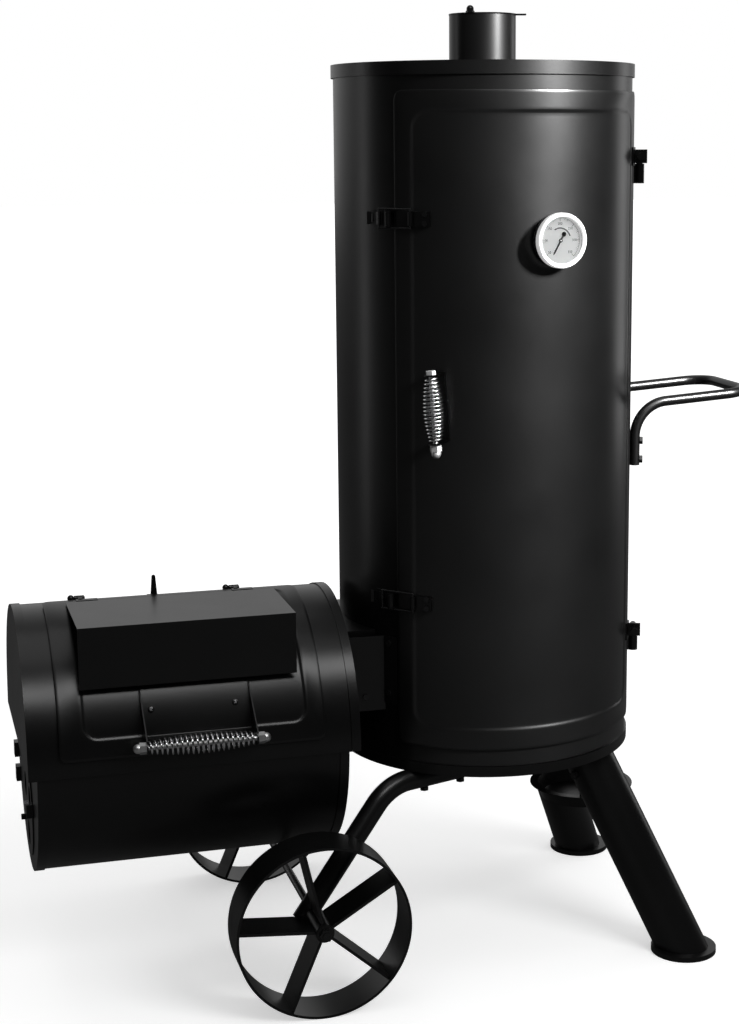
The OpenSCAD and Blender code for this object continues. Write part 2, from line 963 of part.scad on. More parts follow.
// Screws of the saddle and bolts of the legs
module frame_bolts() {
    screw_r = 4;
    screw_h = 2.5;
    cheek_screw = [-197, 370];
    leg_bolt_r = 6;
    leg_bolt_h = 5;
    foot_bolt_down = 28;
    foot_bolt_turn = 62;
    color(satin_black) placed()
        for (side = [0, 1])
            mirror([0, side, 0]) {
                for (z = saddle_screw_zs)
                    on_barrel(saddle_screw_a, shell_r + saddle_t, z)
                        pan_head(screw_r, screw_h);
                translate([cheek_screw[0], -saddle_y, cheek_screw[1]])
                    pan_head(screw_r, screw_h);
                for (s = run_bolt_ss)
                    leg_plane()
                        translate([s, run_top - wheel_leg_r, 0])
                            rotate([90, 0, 0])
                                hexagon(leg_bolt_r, leg_bolt_h);
                foot_axis()
                    translate([0, 0, foot_rise / cos(foot_tilt) - foot_bolt_down])
                        rotate([0, 0, foot_bolt_turn])
                            translate([foot_leg_r, 0, 0])
                                rotate([0, 90, 0])
                                    hexagon(leg_bolt_r, leg_bolt_h);
            }
}

// ---------- firebox ----------

// The lower half: a trough with two end plates, a rim flange, ledges for the charcoal grate and
// two small lugs at the rear of its left end
module firebox_body() {
    flange_y = 1.7;
    flange_x = 1.5;
    ledge_len = 20;
    ledge_h = 12;
    ledge_y = 126;
    ledge_xs = [coal_x[0] + 10, coal_x[1] - 10 - ledge_len];
    length = body_x[1] - body_x[0];
    body_ri = body_r - sheet_t;
    rear_straps = [[155, 247], [138, 217]];
    strap_out = 6;
    strap_w = 16;
    strap_h = 21;
    color(satin_black) placed()
        difference() {
            union() {
                firebox_sheet(body_ri, body_r, [-180, 0], body_x);
                for (x = [body_x[0], body_x[1] - sheet_t])
                    firebox_sheet(0, body_r, [-180, 0], [x, x + sheet_t]);
                for (x = [body_x[0], body_x[1] - band_w])
                    firebox_sheet(body_r, body_r + band_t, [-180, 0], [x, x + band_w]);
                difference() {
                    translate([hood_x[0] + flange_x, -hood_r + flange_y, fire_z - sheet_t])
                        cube([hood_x[1] - hood_x[0] - 2 * flange_x, 2 * (hood_r - flange_y), sheet_t]);
                    translate([body_x[0], -body_ri, fire_z - sheet_t - cut])
                        cube([length, 2 * body_ri, sheet_t + 2 * cut]);
                }
                for (strap = rear_straps)
                    translate([body_x[0] - strap_out, strap[0], strap[1]])
                        cube([strap_out + weld, strap_w, strap_h]);
                for (x = ledge_xs, side = [0, 1])
                    mirror([0, side, 0])
                        intersection() {
                            translate([x, -body_r, ledge_z - ledge_h])
                                cube([ledge_len, body_r - ledge_y, ledge_h]);
                            firebox_sheet(0, body_ri + weld, [-180, 0], body_x);
                        }
            }
            air_holes(body_x[0] - cut, sheet_t + 2 * cut);
            translate([body_x[0] - cut, vent_at[0], vent_at[1]])
                rotate([0, 90, 0])
                    cylinder(r = rod_r + fit, h = sheet_t + 2 * cut);
        }
}

// The round vents, shared by the end plate and the rotary damper
module air_holes(x, depth) {
    translate([x, vent_at[0], vent_at[1]])
        rotate([0, 90, 0])
            for (i = [0:vent_n - 1])
                rotate([0, 0, 360 * i / vent_n])
                    translate([vent_hole_at, 0, 0])
                        cylinder(r = vent_hole_r, h = depth);
}

// Rotary plate over the vents with a bent finger tab
module air_damper() {
    tab_y = [-86, -76];
    tab_z = [241, 259];
    tab_t = 2;
    outer_x = body_x[0] - slip - sheet_t;
    knob_at = [25, 205];
    knob_r = 4;
    knob_len = 7;
    color(satin_black) placed()
        difference() {
            union() {
                translate([outer_x, vent_at[0], vent_at[1]])
                    rotate([0, 90, 0])
                        cylinder(r = vent_r, h = sheet_t);
                translate([outer_x - knob_len, knob_at[0], knob_at[1]])
                    rotate([0, 90, 0])
                        cylinder(r = knob_r, h = knob_len + weld);
                translate([outer_x, tab_y[0], tab_z[0]])
                    cube([sheet_t, tab_y[1] - tab_y[0], tab_z[1] - tab_z[0]]);
                translate([body_x[0] - damper_tab_out, tab_y[0], tab_z[0]])
                    cube([damper_tab_out - slip, tab_t, tab_z[1] - tab_z[0]]);
            }
            air_holes(outer_x - cut, sheet_t + 2 * cut);
            translate([outer_x - cut, vent_at[0], vent_at[1]])
                rotate([0, 90, 0])
                    cylinder(r = rod_r + fit, h = sheet_t + 2 * cut);
        }
}

module air_damper_stud() {
    nut_h = 5;
    stud_nut_r = 6.5;
    inner_head = 3;
    inner_head_r = 6;
    plate_x = body_x[0] - slip - sheet_t;
    color(steel) placed()
        translate([0, vent_at[0], vent_at[1]])
            rotate([0, 90, 0]) {
                translate([0, 0, body_x[0] + sheet_t])
                    hexagon(inner_head_r, inner_head);
                translate([0, 0, plate_x - slip - weld])
                    cylinder(r = rod_r, h = body_x[0] + sheet_t - plate_x + slip + 2 * weld);
                translate([0, 0, plate_x - slip - nut_h])
                    hexagon(stud_nut_r, nut_h);
            }
}

// The upper half with the charging opening and the duct opening
module firebox_hood() {
    color(satin_black) placed()
        difference() {
            union() {
                firebox_sheet(hood_r - sheet_t, hood_r, [0, 180], hood_x);
                for (x = [hood_x[0], hood_x[1] - sheet_t])
                    firebox_sheet(0, hood_r, [0, 180], [x, x + sheet_t]);
                for (x = [hood_x[0], hood_x[1] - band_w])
                    firebox_sheet(hood_r, hood_r + band_t, [0, 180], [x, x + band_w]);
            }
            firebox_sheet(hood_r - sheet_t - cut, hood_r + cut, charge_t, charge_x);
            translate([hood_x[1] - sheet_t - cut, -duct_y + duct_t, duct_z[0] + duct_t])
                cube([sheet_t + 2 * cut, 2 * (duct_y - duct_t), duct_z[1] - duct_z[0] - 2 * duct_t]);
        }
}

module charcoal_grate() {
    pitch = 20;
    rim = 6;
    length = coal_x[1] - coal_x[0];
    color(steel) placed()
        translate([coal_x[0], 0, ledge_z]) {
            difference() {
                translate([0, -coal_y, 0])
                    cube([length, 2 * coal_y, rim]);
                translate([rim, -coal_y + rim, -cut])
                    cube([length - 2 * rim, 2 * (coal_y - rim), rim + 2 * cut]);
            }
            for (x = [pitch:pitch:length - pitch])
                translate([x - bar_t / 2, -coal_y + rim - weld, rim - bar_t])
                    cube([bar_t, 2 * (coal_y - rim + weld), bar_t]);
        }
}

// ---------- charging lid ----------

module charging_lid() {
    inset_a = 0.6;
    inset_x = 2;
    lid_ri = lid_r - sheet_t;
    color(satin_black) placed()
        difference() {
            union() {
                firebox_sheet(lid_ri, lid_r, lid_t, lid_x);
                firebox_sheet(lid_panel_r - sheet_t, lid_r, lid_panel_t, lid_panel_x);
            }
            firebox_sheet(lid_panel_r, lid_r + cut, [lid_panel_t[0] + inset_a, lid_panel_t[1] - inset_a],
                [lid_panel_x[0] + inset_x, lid_panel_x[1] - inset_x]);
        }
}

module knuckle(xs, bore) {
    translate([xs[0], 0, 0])
        rotate([0, 90, 0])
            ring(bore, knuckle_r, xs[1] - xs[0]);
}

// Fixed leaves on the hood, each with two knuckles
module hood_hinge_leaves() {
    leaf_t = [93.4, 104];
    leaf_r = hood_r + 1.3;
    web_half = 1.6;
    bore = lid_pin_r + fit;
    color(satin_black) placed()
        for (x = lid_hinge_xs) {
            firebox_sheet(hood_r + fit, leaf_r, leaf_t, [x, x + leaf_len]);
            on_firebox(lid_axis_t, lid_axis_r, x)
                for (xs = knuckle_xs) {
                    knuckle(xs, bore);
                    translate([xs[0], bore + weld, -web_half])
                        cube([xs[1] - xs[0], lid_axis_r - leaf_r - bore, 2 * web_half]);
                }
        }
}

module lid_hinge_pins() {
    head_r = 4.5;
    color(satin_black) placed()
        for (x = lid_hinge_xs)
            on_firebox(lid_axis_t, lid_axis_r, x)
                rotate([0, 90, 0]) {
                    cylinder(r = lid_pin_r, h = knuckle_xs[1][1] + 1);
                    translate([0, 0, -head_r])
                        sphere(r = head_r);
                    translate([0, 0, -weld])
                        cylinder(r = lid_pin_r, h = 2 * weld);
                }
}

// Moving leaves on the lid, each with one knuckle
module lid_hinge_leaves() {
    leaf_t = [87.6, 90.5];
    leaf_x = [1, 29];
    tongue = 14;
    tongue_t = 2;
    tongue_out = 1.3;
    bore = lid_pin_r + fit;
    color(satin_black) placed()
        for (x = lid_hinge_xs) {
            firebox_sheet(lid_r + fit, lid_r + sheet_t, leaf_t, [x + leaf_x[0], x + leaf_x[1]]);
            on_firebox(lid_axis_t, lid_axis_r, x) {
                knuckle(moving_knuckle, bore);
                translate([moving_knuckle[0], -tongue_out, -tongue])
                    cube([moving_knuckle[1] - moving_knuckle[0], tongue_t, tongue - bore - weld]);
            }
        }
}

// Tapered tongue that the open lid leans on
module lid_stop() {
    foot_t = [95, 106];
    thick = 2.5;
    low_half = 4.5;
    high_half = 2.5;
    foot_half = 6;
    root_z = fire_z + hood_r - 0.6;
    color(satin_black) placed() {
        firebox_sheet(hood_r, hood_r + sheet_t, foot_t,
            [stop_x - foot_half, stop_x + foot_half]);
        translate([stop_x, stop_y + thick, 0])
            rotate([90, 0, 0])
                linear_extrude(thick)
                    union() {
                        polygon([[-low_half, root_z], [low_half, root_z], [high_half, stop_top],
                            [-high_half, stop_top]]);
                        translate([0, stop_top])
                            circle(r = high_half);
                    }
    }
}

// Open-sided shelf that stands off the lid on two ribs
module lid_shelf() {
    rib_in = 12;
    width = shelf_x[1] - shelf_x[0];
    depth = shelf_y[1] - shelf_y[0];
    color(satin_black) placed() {
        translate([shelf_x[0], shelf_y[0], shelf_z - flange_t])
            cube([width, depth, flange_t]);
        translate([shelf_x[0], shelf_y[0], shelf_low])
            cube([width, flange_t, shelf_z - shelf_low]);
        for (x = [shelf_x[0] + rib_in, shelf_x[1] - rib_in - flange_t])
            side_plate(x, flange_t)
                difference() {
                    translate([shelf_y[0] + flange_t - weld, shelf_low])
                        square([depth - flange_t + weld, shelf_z - shelf_low - flange_t + weld]);
                    translate([0, fire_z])
                        circle(r = lid_panel_r + fit);
                }
    }
}

// Curved back plate with two side flanges that carry the rod
module lid_handle_bracket() {
    root = lid_panel_r + 2 * fit;
    flange_root = [14.8, 36];
    flange_low = [7.8, 209];
    flange_high = [13, 222];
    eye_r = 8;
    tip = fire_point(lid_grip_t, lid_grip_r);
    outline = [fire_point(flange_root[1], root), fire_point(flange_root[0], root),
        fire_point(flange_low[0], flange_low[1]), fire_point(flange_high[0], flange_high[1])];
    color(satin_black) placed() {
        firebox_sheet(lid_panel_r + fit, lid_panel_r + flange_t, lid_plate_t, lid_grip_x);
        for (x = [lid_grip_x[0], lid_grip_x[1] - flange_t])
            side_plate(x, flange_t)
                difference() {
                    union() {
                        polygon(outline);
                        translate(tip)
                            circle(r = eye_r);
                    }
                    translate(tip)
                        circle(r = rod_r + 2 * fit);
                    translate([0, fire_z])
                        circle(r = root);
                }
    }
}

module lid_handle_rod() {
    length = lid_grip_x[1] - lid_grip_x[0];
    low_dome = dome_h - 1;
    color(steel) placed()
        on_firebox(lid_grip_t, lid_grip_r, lid_grip_x[0])
            rotate([0, 90, 0]) {
                translate([0, 0, -weld])
                    cylinder(r = rod_r, h = length + 2 * weld);
                translate([0, 0, length])
                    acorn_nut(nut_r, hex_h, low_dome);
                mirror([0, 0, 1])
                    acorn_nut(nut_r, hex_h, low_dome);
            }
}

module lid_handle_spring() {
    half = (lid_grip_x[1] - lid_grip_x[0]) / 2 - flange_t - slip;
    middle = (lid_grip_x[1] + lid_grip_x[0]) / 2;
    color(steel) placed()
        on_firebox(lid_grip_t, lid_grip_r, middle)
            rotate([0, 90, 0])
                coil_body(half, coil_in, coil_out, coil_wire);
}

module lid_screws() {
    screw_t = 24.5;
    head_r = 4;
    head_rise = 2.5;
    color(satin_black) placed()
        for (x = lid_nut_screw_xs)
            on_firebox(screw_t, lid_panel_r + flange_t, x)
                pan_head(head_r, head_rise);
}

// ---------- legs, axle and wheels ----------

// Vertical plane of the front wheel leg: X runs toward the axle, Y is height
module leg_plane() {
    translate([run_from[0], run_from[1], 0])
        rotate([0, 0, run_angle])
            rotate([90, 0, 0])
                children();
}

module leg_core(radius, extra) {
    union() {
        translate([run_start - extra, run_top, 0])
            rotate([0, 90, 0])
                cylinder(r = radius, h = bend_s - run_start + extra);
        translate([bend_s, run_top - run_bend, 0])
            rotate([0, 0, 90 - wheel_leg_slope])
                rotate_extrude(angle = wheel_leg_slope)
                    translate([run_bend, 0])
                        circle(r = radius);
        translate([slope_s, slope_z, 0])
            rotate([0, 0, -wheel_leg_slope])
                rotate([0, 90, 0])
                    cylinder(r = radius, h = slope_len + extra);
    }
}

module wheel_leg() {
    difference() {
        leg_plane()
            leg_core(wheel_leg_r, 0);
        leg_plane()
            leg_core(wheel_leg_r - leg_wall, cut);
        translate([axle_x, 0, wheel_r])
            rotate([90, 0, 0])
                cylinder(r = axle_r + fit, h = wheel_y);
    }
}

module front_wheel_leg() {
    color(satin_black) placed()
        wheel_leg();
}

module rear_wheel_leg() {
    color(satin_black) placed()
        mirror([0, 1, 0])
            wheel_leg();
}

module wheel_axle() {
    reach = wheel_y + hub_half + 10;
    color(satin_black) placed()
        translate([axle_x, reach, wheel_r])
            rotate([90, 0, 0])
                cylinder(r = axle_r, h = 2 * reach);
}

// Washers and nuts outside the hubs, and spacers between the hubs and the legs
module axle_nuts() {
    washer_r = 11;
    washer_t = 1.5;
    nut_h = 7;
    hub_out = wheel_y + hub_half + slip;
    hub_in = wheel_y - hub_half - slip;
    spacer_from = 198;
    spacer_r = 9;
    nut_round = 8.5;
    color(satin_black) placed()
        for (side = [0, 1])
            mirror([0, side, 0])
                translate([axle_x, 0, wheel_r])
                    rotate([90, 0, 0])
                        difference() {
                            union() {
                                translate([0, 0, hub_out])
                                    cylinder(r = washer_r, h = washer_t);
                                translate([0, 0, hub_out + washer_t - fit])
                                    hexagon(nut_round, nut_h);
                                translate([0, 0, spacer_from])
                                    cylinder(r = spacer_r, h = hub_in - spacer_from);
                            }
                            cylinder(r = axle_r + fit, h = 2 * wheel_y);
                            axle_frame()
                                leg_plane()
                                    leg_core(wheel_leg_r + fit, 0);
                        }
}

// Takes shapes given from the chamber axis into the frame of the front end of the axle
module axle_frame() {
    rotate([-90, 0, 0])
        translate([-axle_x, 0, -wheel_r])
            children();
}

module wheel() {
    rotate([90, 0, 0])
        difference() {
            union() {
                translate([0, 0, -wheel_w / 2])
                    ring(wheel_r - rim_t, wheel_r, wheel_w);
                translate([0, 0, -hub_half])
                    cylinder(r = hub_r, h = 2 * hub_half);
                for (i = [0:spoke_n - 1])
                    rotate([0, 0, spoke_phase + 360 * i / spoke_n])
                        translate([hub_r - 2, -spoke_t / 2, -spoke_half])
                            cube([wheel_r - rim_t + weld - hub_r + 2, spoke_t, 2 * spoke_half]);
            }
            translate([0, 0, -hub_half - cut])
                cylinder(r = axle_r + fit, h = 2 * (hub_half + cut));
        }
}

module front_wheel() {
    color(satin_black) placed()
        translate([axle_x, -wheel_y, wheel_r])
            wheel();
}

module rear_wheel() {
    color(satin_black) placed()
        translate([axle_x, wheel_y, wheel_r])
            wheel();
}

// Axis of the front foot leg, from the middle of the foot upward
module foot_axis() {
    translate([foot_at[0], foot_at[1], 0])
        rotate([0, foot_tilt, foot_turn])
            children();
}

module foot_leg() {
    over = 40;
    seam = 50;
    length = foot_rise / cos(foot_tilt);
    difference() {
        union() {
            translate([foot_at[0], foot_at[1], 0])
                cylinder(r = foot_r, h = foot_h);
            foot_tube(foot_leg_r, foot_h - cut, base_z, length + 2 * over, over, seam);
        }
        foot_tube(foot_leg_r - leg_wall, foot_h, base_z + cut, length + 2 * over, over, seam);
    }
}

// A slanted cylinder cut level at two heights
module foot_tube(radius, low, high, length, over, seam) {
    intersection() {
        foot_axis()
            translate([0, 0, -over])
                rotate([0, 0, seam])
                    cylinder(r = radius, h = length);
        translate([-foot_at[0], 2 * foot_at[1], low])
            cube([3 * foot_at[0], -3 * foot_at[1], high - low]);
    }
}

module front_foot_leg() {
    color(satin_black) placed()
        foot_leg();
}

module rear_foot_leg() {
    color(satin_black) placed()
        mirror([0, 1, 0])
            foot_leg();
}

// ---------- push handle ----------

module handle_core(radius, extra) {
    for (side = [0, 1])
        mirror([0, side, 0]) {
            translate([upright_x, -arm_y, handle_low - extra])
                cylinder(r = radius, h = handle_bend_z - handle_low + extra);
            translate([upright_x + handle_bend, -arm_y, handle_bend_z])
                rotate([90, 0, 0])
                    rotate([0, 0, 90 + arm_slope])
                        rotate_extrude(angle = 90 - arm_slope)
                            translate([handle_bend, 0])
                                circle(r = radius);
            translate([arm_from, -arm_y, arm_z])
                rotate([0, -arm_slope, 0]) {
                    rotate([0, 90, 0])
                        cylinder(r = radius, h = arm_len);
                    translate([arm_len, corner_r, 0]) {
                        rotate([0, 0, -90])
                            rotate_extrude(angle = 90)
                                translate([corner_r, 0])
                                    circle(r = radius);
                        translate([corner_r, 0, 0])
                            rotate([-90, 0, 0])
                                cylinder(r = radius, h = arm_y - corner_r);
                    }
                }
        }
}

// Bent tube with two arms and a grip
module push_handle() {
    color(satin_black) placed()
        difference() {
            handle_core(handle_r, 0);
            handle_core(handle_r - handle_wall, cut);
            handle_bolt_places()
                bolt_hole();
        }
}

module handle_bolt_places() {
    for (side = [0, 1], z = handle_bolt_zs)
        mirror([0, side, 0])
            on_barrel(90 - upright_a, upright_r, z)
                children();
}

module bolt_hole() {
    hole_r = 3.1;
    translate([0, -handle_r - cut, 0])
        rotate([-90, 0, 0])
            cylinder(r = hole_r, h = 3 * handle_r);
}

// Strips between the handle tube and the chamber
module handle_pads() {
    half_a = 2;
    color(satin_black) placed()
        difference() {
            for (side = [0, 1])
                mirror([0, side, 0])
                    barrel_sheet(shell_r + fit, shell_r + pad_t - weld / 2,
                        [90 - upright_a - half_a, 90 - upright_a + half_a], [655, 705]);
            handle_bolt_places()
                bolt_hole();
        }
}

module handle_bolts() {
    bolt_r = 2.9;
    bolt_head = 4;
    bolt_round = 5.5;
    bolt_nut = 4;
    inner = upright_r - shell_ri;
    color(satin_black) placed()
        handle_bolt_places() {
            translate([0, -handle_r - fit, 0])
                rotate([90, 0, 0])
                    hexagon(bolt_round, bolt_head);
            translate([0, -handle_r, 0])
                rotate([-90, 0, 0])
                    cylinder(r = bolt_r, h = handle_r + inner + bolt_nut);
            translate([0, inner + slip, 0])
                rotate([-90, 0, 0])
                    hexagon(bolt_round, bolt_nut);
        }
}

// ---------- drip cup ----------

// Shallow cup with a flanged rim and a wire bail
module drip_cup() {
    rim_w = 10;
    foot = [68, cup_rim_z - cup_t / 2];
    top = [bail_half, bail_z];
    wall_r = cup_rim_r - rim_w;
    floor_z = cup_rim_z - cup_depth;
    color(satin_black) placed()
        translate([cup_x, 0, 0]) {
            rotate_extrude()
                polygon([[0, floor_z], [cup_floor_r, floor_z], [wall_r, cup_rim_z - cup_t],
                    [cup_rim_r, cup_rim_z - cup_t], [cup_rim_r, cup_rim_z],
                    [wall_r - cup_t, cup_rim_z], [cup_floor_r - cup_t, floor_z + cup_t],
                    [0, floor_z + cup_t]]);
            rotate([0, 0, bail_turn]) {
                translate([-bail_half, 0, bail_z])
                    rotate([0, 90, 0])
                        cylinder(r = bail_r, h = 2 * bail_half);
                for (side = [0, 1])
                    mirror([side, 0, 0]) {
                        translate([top[0], 0, top[1]])
                            sphere(r = bail_r);
                        translate([top[0], 0, top[1]])
                            rotate([0, 90 + atan2(top[1] - foot[1], foot[0] - top[0]), 0])
                                cylinder(r = bail_r, h = norm(foot - top));
                    }
            }
        }
}

// Wire hook under the chamber that the bail hangs in
module drip_hook() {
    sweep = 270;
    color(steel) placed()
        translate([cup_x, 0, bail_z])
            rotate([0, 0, bail_turn])
                rotate([90, 0, 90]) {
                    rotate([0, 0, -sweep])
                        rotate_extrude(angle = sweep)
                            translate([hook_r, 0])
                                circle(r = hook_wire_r);
                    translate([hook_r, 0, 0])
                        rotate([-90, 0, 0])
                            cylinder(r = hook_wire_r, h = base_z - bail_z);
                }
}

chamber_shell();
chamber_lid();
chamber_base();
chimney_pipe();
damper_bolt();
hinge_sockets();
latch_bases();
grate_supports();
push_handle();
handle_pads();
handle_bolts();
front_foot_leg();
rear_foot_leg();
front_wheel_leg();
rear_wheel_leg();
wheel_axle();
axle_nuts();
duct();
duct_saddle();
frame_bolts();
firebox_body();
firebox_hood();
hood_hinge_leaves();
lid_hinge_pins();
lid_stop();
air_damper_stud();
drip_hook();
chamber_door();
door_hinge_pins();
door_hinge_brackets();
door_fasteners();
latch_keepers();
door_handle_bracket();
door_handle_rod();
door_handle_spring();
gauge_case();
gauge_bezel();
gauge_dial();
gauge_glass();
upper_latch_lever();
lower_latch_lever();
upper_latch_loop();
lower_latch_loop();
gauge_pointer();
chimney_damper();
charging_lid();
lid_hinge_leaves();
lid_shelf();
lid_handle_bracket();
lid_handle_rod();
lid_handle_spring();
lid_screws();
air_damper();
front_wheel();
rear_wheel();
lower_cooking_grate();
middle_cooking_grate();
upper_cooking_grate();
charcoal_grate();
drip_cup();
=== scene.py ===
import json
import math

import bpy
from mathutils import Matrix, Vector


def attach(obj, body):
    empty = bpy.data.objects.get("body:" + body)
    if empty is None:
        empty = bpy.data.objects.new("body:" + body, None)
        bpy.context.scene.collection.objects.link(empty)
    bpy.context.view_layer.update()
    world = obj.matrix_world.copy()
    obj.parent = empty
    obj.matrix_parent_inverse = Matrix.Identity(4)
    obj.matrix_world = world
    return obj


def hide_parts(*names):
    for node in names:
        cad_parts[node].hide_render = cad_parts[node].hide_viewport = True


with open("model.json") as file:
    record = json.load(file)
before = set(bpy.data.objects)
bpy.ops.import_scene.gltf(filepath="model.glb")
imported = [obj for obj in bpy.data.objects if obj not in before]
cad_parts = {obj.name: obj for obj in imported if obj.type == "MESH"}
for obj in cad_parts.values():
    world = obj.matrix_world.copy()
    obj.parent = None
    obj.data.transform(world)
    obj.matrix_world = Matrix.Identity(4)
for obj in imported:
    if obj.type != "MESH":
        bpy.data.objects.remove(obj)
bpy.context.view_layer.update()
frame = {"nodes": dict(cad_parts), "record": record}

# Millimetres in the chamber's own frame: its axis is x = y = 0, the floor z = 0, the door faces -y.
# Angles on the chamber run from the front toward +x, on the firebox from the front upward.
MM = 0.001
CHAMBER_X = 135.5
FIRE_Z = 321.0

# Pressed sheets: thickness, panel depth, and the inner radius of the door and the charging lid
SHEET = 1.5
PANEL_DEPTH = 1.5
DOOR_IN = 202.3
LID_IN = 181.0

# Spring grips: where their rods run, and the coil's radii
GRIP_ANGLE = -33.0
GRIP_Z = 764.5
GRIP_R = 235.0
GRIP_LEAN = 3.7
GRIP_HALF = 42.2
LID_GRIP_ANGLE = 10.8
LID_GRIP_X = (-501.1, -364.9)
LID_GRIP_R = 215.0
COIL_END = 6.6
COIL_MIDDLE = 12.0
COIL_WIRE = 1.45

# Cooking grates: rim, bars that lie on it, and two stays below the bars
GRATE_LEVELS = {"low": 470.0, "mid": 680.0, "high": 890.0}
GRATE_R = 187.0
GRATE_RIM_WIRE = 2.9
GRATE_BAR_WIRE = 1.7
GRATE_STAY_WIRE = 1.8
GRATE_BARS_EACH_SIDE = 14
GRATE_PITCH = 13.0
GRATE_STAY_Y = 62.0

# Thermometer: its direction and front, and the printed scale on the dial, in degrees of the clock
GAUGE_ANGLE = 9.1
GAUGE_Z = 974.5
GAUGE_R = 224.0
DIAL_DEPTH = 8.94
DIAL_SWEEP = (-135.0, 135.0)
SCALE_R = 28.2
NUMBER_R = 20.8
NUMBER_DEPTH = 8.93
ZONE_R = (14.5, 16.3)
ZONE_SWEEP = (-30.0, 70.0)

EDGE_ANGLE = 32.0
EDGE_WIDTH = 0.35
scene = bpy.context.scene


def at(x, y, z):
    """Millimetres in the chamber's frame as a place in the scene."""
    return Vector(((x + CHAMBER_X) * MM, y * MM, z * MM))


def chamber(angle, along, radius):
    a = math.radians(angle)
    return at(radius * math.sin(a), -radius * math.cos(a), along)


def firebox(angle, along, radius):
    a = math.radians(angle)
    return at(along, -radius * math.cos(a), FIRE_Z + radius * math.sin(a))


# ---------------------------------------------------------------- materials

def new_material(name):
    m = bpy.data.materials.new(name)
    m.use_nodes = True
    return m, m.node_tree.nodes, m.node_tree.links, m.node_tree.nodes["Principled BSDF"]


def noise(nodes, links, coords, scale, detail, rough=0.55):
    n = nodes.new("ShaderNodeTexNoise")
    n.inputs["Scale"].default_value = scale
    n.inputs["Detail"].default_value = detail
    n.inputs["Roughness"].default_value = rough
    links.new(coords, n.inputs["Vector"])
    return n.outputs["Fac"]


def ranged(nodes, links, value, low, high, out_low, out_high):
    r = nodes.new("ShaderNodeMapRange")
    r.inputs["From Min"].default_value = low
    r.inputs["From Max"].default_value = high
    r.inputs["To Min"].default_value = out_low
    r.inputs["To Max"].default_value = out_high
    links.new(value, r.inputs["Value"])
    return r.outputs["Result"]


def mixed(nodes, links, factor, one, two):
    m = nodes.new("ShaderNodeMix")
    m.data_type = "RGBA"
    m.inputs["A"].default_value = (*one, 1)
    m.inputs["B"].default_value = (*two, 1)
    links.new(factor, m.inputs["Factor"])
    return m.outputs["Result"]


def bumped(nodes, links, shader, height, strength, depth):
    bump = nodes.new("ShaderNodeBump")
    bump.inputs["Strength"].default_value = strength
    bump.inputs["Distance"].default_value = depth
    links.new(height, bump.inputs["Height"])
    links.new(bump.outputs["Normal"], shader.inputs["Normal"])


def painted(name, dark, light, rough, spread, grain, depth):
    """Powder-coated steel: fine orange peel, faint cloudiness and a little handling wear."""
    m, nodes, links, shader = new_material(name)
    where = nodes.new("ShaderNodeTexCoord").outputs["Object"]
    cloud = noise(nodes, links, where, 7.0, 4.0)
    speck = noise(nodes, links, where, 420.0, 2.0)
    peel = noise(nodes, links, where, grain, 3.0, 0.6)
    links.new(mixed(nodes, links, ranged(nodes, links, cloud, 0.3, 0.7, 0.0, 1.0), dark, light),
              shader.inputs["Base Color"])
    both = nodes.new("ShaderNodeMath")
    both.operation = "MULTIPLY_ADD"
    links.new(speck, both.inputs[0])
    both.inputs[1].default_value = 0.35
    links.new(cloud, both.inputs[2])
    links.new(ranged(nodes, links, both.outputs[0], 0.4, 1.0, rough - spread, rough + spread),
              shader.inputs["Roughness"])
    bumped(nodes, links, shader, peel, 0.35, depth)
    return m


def metal(name, one, two, rough, spread, scale, depth, painted_glow=0.0):
    """Bare or plated metal with fine brushing and slight unevenness, and an optional painted glow
    that makes it look lit.
    """
    m, nodes, links, shader = new_material(name)
    where = nodes.new("ShaderNodeTexCoord").outputs["Object"]
    lines = noise(nodes, links, where, scale, 4.0)
    cloud = noise(nodes, links, where, 60.0, 3.0)
    links.new(mixed(nodes, links, cloud, one, two), shader.inputs["Base Color"])
    links.new(ranged(nodes, links, lines, 0.3, 0.7, rough - spread, rough + spread),
              shader.inputs["Roughness"])
    # Painted light: emission that makes the metal look brightly lit
    shader.inputs["Emission Strength"].default_value = painted_glow
    shader.inputs["Metallic"].default_value = 1.0
    bumped(nodes, links, shader, lines, 0.3, depth)
    return m


def plain(name, color, rough, painted_glow=0.0):
    """Printed or lacquered parts of even colour, with an optional painted glow that makes them look
    lit.
    """
    m, nodes, links, shader = new_material(name)
    where = nodes.new("ShaderNodeTexCoord").outputs["Object"]
    value = noise(nodes, links, where, 300.0, 2.0)
    near = tuple(c * 0.93 for c in color)
    links.new(mixed(nodes, links, value, near, color), shader.inputs["Base Color"])
    links.new(ranged(nodes, links, value, 0.3, 0.7, rough * 0.9, rough * 1.1),
              shader.inputs["Roughness"])
    # Painted light: emission that makes the part look brightly lit
    shader.inputs["Emission Strength"].default_value = painted_glow
    return m


POWDER = painted("powder_black", (0.0022, 0.0022, 0.0023), (0.0034, 0.0034, 0.0035),
                 0.305, 0.03, 900.0, 0.00006)
FRAME_BLACK = painted("frame_black", (0.0034, 0.0034, 0.0035), (0.0050, 0.0050, 0.0051),
                      0.32, 0.04, 800.0, 0.00005)
INNER = painted("inside_black", (0.005, 0.005, 0.005), (0.008, 0.0077, 0.0074),
                0.50, 0.05, 700.0, 0.00006)
HARDWARE = painted("black_hardware", (0.005, 0.005, 0.0052), (0.008, 0.008, 0.0083),
                   0.28, 0.06, 1500.0, 0.00003)
CHROME = metal("chrome", (0.80, 0.80, 0.81), (0.90, 0.90, 0.91), 0.17, 0.04, 900.0, 0.00002)
NUTS = metal("plated_nuts", (0.80, 0.80, 0.80), (0.92, 0.92, 0.92), 0.42, 0.06, 700.0, 0.00003)
STEEL = metal("stainless", (0.52, 0.52, 0.53), (0.62, 0.62, 0.63), 0.28, 0.08, 500.0, 0.00003)
ZINC = metal("zinc", (0.42, 0.42, 0.43), (0.54, 0.54, 0.56), 0.32, 0.08, 600.0, 0.00003)
